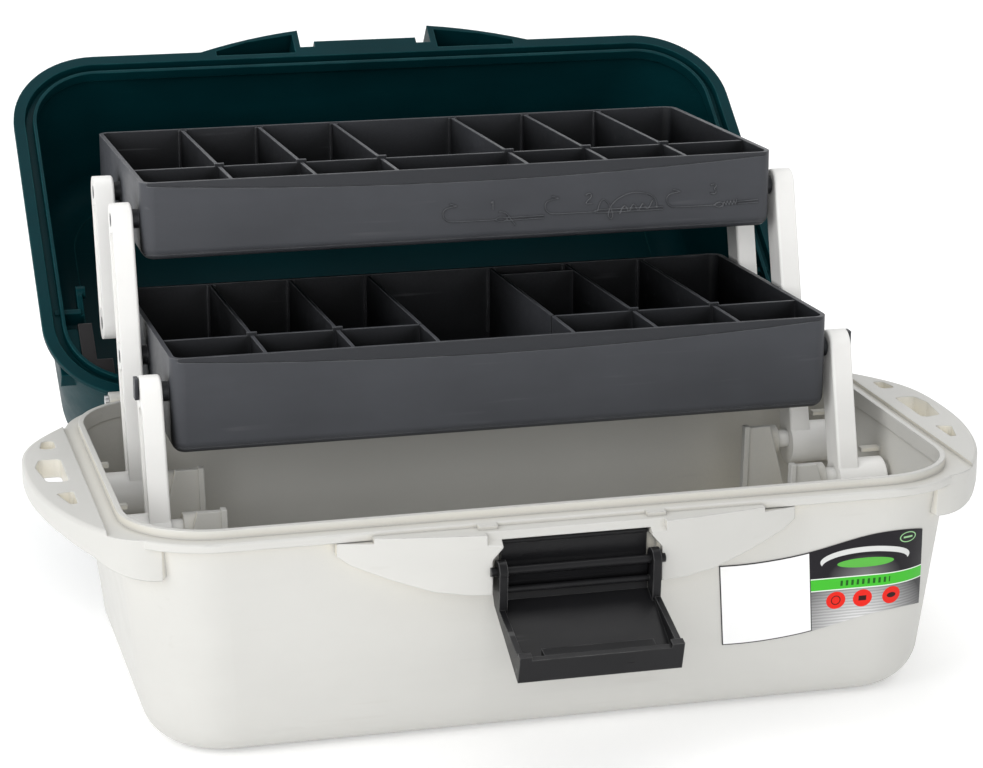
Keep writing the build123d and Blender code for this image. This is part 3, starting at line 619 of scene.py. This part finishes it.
def knot_marks(material):
    """Three numbered knot drawings, raised on the upper tray's front."""
    low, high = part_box("upper_tray")
    for number, knot in enumerate((first_knot, second_knot, third_knot), start=1):
        lines = [[(u / 1000, low[1], high[2] - drop / 1000) for u, drop in line] for line in knot()]
        raised_drawing("knot_%d" % number, lines, KNOT_RADIUS, material)


# ---------------------------------------------------------------- latch web
def latch_web(material):
    """Curved web behind the latch's bars, from the pivot down to the rear edge of the lever's plate."""
    low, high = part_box("latch_pin")
    pivot_y = (low[1] + high[1]) / 2
    pivot_z = (low[2] + high[2]) / 2
    slope = math.radians(WEB_SLOPE)
    front = [(-0.0010, -0.0021), (-0.0012, -0.0060), (-0.0008, -0.0100), (0.0012, -0.0134)]
    back = [(u - 0.0010, v - 0.0002) for u, v in reversed(front)]
    ring = []
    for u, v in front + back:
        y = pivot_y - u * math.cos(slope) - v * math.sin(slope)
        z = pivot_z - u * math.sin(slope) + v * math.cos(slope)
        ring.append((y, z))
    count = len(ring)
    verts = [(x, y, z) for x in (-WEB_HALF_X, WEB_HALF_X) for y, z in ring]
    faces = [(i, (i + 1) % count, count + (i + 1) % count, count + i) for i in range(count)]
    faces += [tuple(range(count))[::-1], tuple(range(count, 2 * count))]
    mesh = bpy.data.meshes.new("latch_web")
    mesh.from_pydata(verts, [], faces)
    mesh.materials.append(material)
    web = add_object("latch_web", mesh)
    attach(web, "latch")


# ---------------------------------------------------------------- materials on the CAD nodes
# Edge colours are partly wear and partly painted highlight; the crevice shade is painted shade; the trays'
# hollow colour is painted shade and the tub's is painted warm bounce light.
PLASTICS = {
    "tub_plastic": dict(
        color=(0.545, 0.541, 0.517), roughness=0.42, mottle=0.025, gloss=0.35, grain=0.4,
        edge_wear_and_highlight_color=(0.68, 0.68, 0.66), edge_radius=0.0009, crevice_shade=0.72,
        hollow_shading_color=(0.80, 0.76, 0.655), scratch_color=(0.49, 0.48, 0.45), scratch_amount=0.25),
    "arm_plastic": dict(
        color=(0.84, 0.835, 0.815), roughness=0.38, mottle=0.02, gloss=0.35, grain=0.3,
        edge_wear_and_highlight_color=(0.88, 0.88, 0.86), edge_radius=0.0007, crevice_shade=0.75),
    "lid_plastic": dict(
        color=(0.0014, 0.028, 0.034), roughness=0.40, mottle=0.16, gloss=0.05, grain=0.4,
        edge_wear_and_highlight_color=(0.014, 0.085, 0.092), edge_radius=0.0009,
        scratch_color=(0.006, 0.045, 0.050), scratch_amount=0.3),
    "tray_plastic": dict(
        color=(0.058, 0.061, 0.069), roughness=0.44, mottle=0.13, gloss=0.2,
        edge_wear_and_highlight_color=(0.17, 0.175, 0.185), crevice_shade=0.3, hollow_shading_color=(0.0015, 0.0018, 0.0021),
        band_nodes=("lower_tray", "upper_tray"),
        scratch_color=(0.11, 0.112, 0.12), scratch_amount=0.35),
    "latch_plastic": dict(
        color=(0.010, 0.010, 0.011), roughness=0.30, mottle=0.25, gloss=0.18,
        edge_wear_and_highlight_color=(0.14, 0.14, 0.14), crevice_shade=0.3,
        scratch_color=(0.13, 0.13, 0.13), scratch_amount=0.5),
    "handle_plastic": dict(
        color=(0.010, 0.010, 0.011), roughness=0.4, mottle=0.15, gloss=0.22, grain=0.6,
        edge_wear_and_highlight_color=(0.07, 0.07, 0.075), scratch_color=(0.12, 0.12, 0.125), scratch_amount=0.4),
    "lift_block_plastic": dict(
        color=(0.016, 0.015, 0.016), roughness=0.4, mottle=0.12, gloss=0.2,
        edge_wear_and_highlight_color=(0.12, 0.12, 0.12)),
}


def slot_materials():
    """One finished material for each slot in the record."""
    made = {slot: moulded_plastic(slot, **look) for slot, look in PLASTICS.items()}
    made["steel_pin"] = drawn_steel("steel_pin", (0.56, 0.56, 0.57))
    made["label_film"] = printed_label("label_film")
    return made


def dress_cad_nodes(made):
    """Put on every CAD node the material of the slot that the record gives it."""
    slots = {part["node"]: part["material_slot"] for part in frame["record"]["subparts"]}
    for node, piece in frame["nodes"].items():
        piece.data.materials.clear()
        piece.data.materials.append(made[slots[node]])


make_camera()
keep_colours_plain()
make_floor()
make_lights()
finishes = slot_materials()
dress_cad_nodes(finishes)
knot_marks(finishes["tray_plastic"])
latch_web(finishes["latch_plastic"])
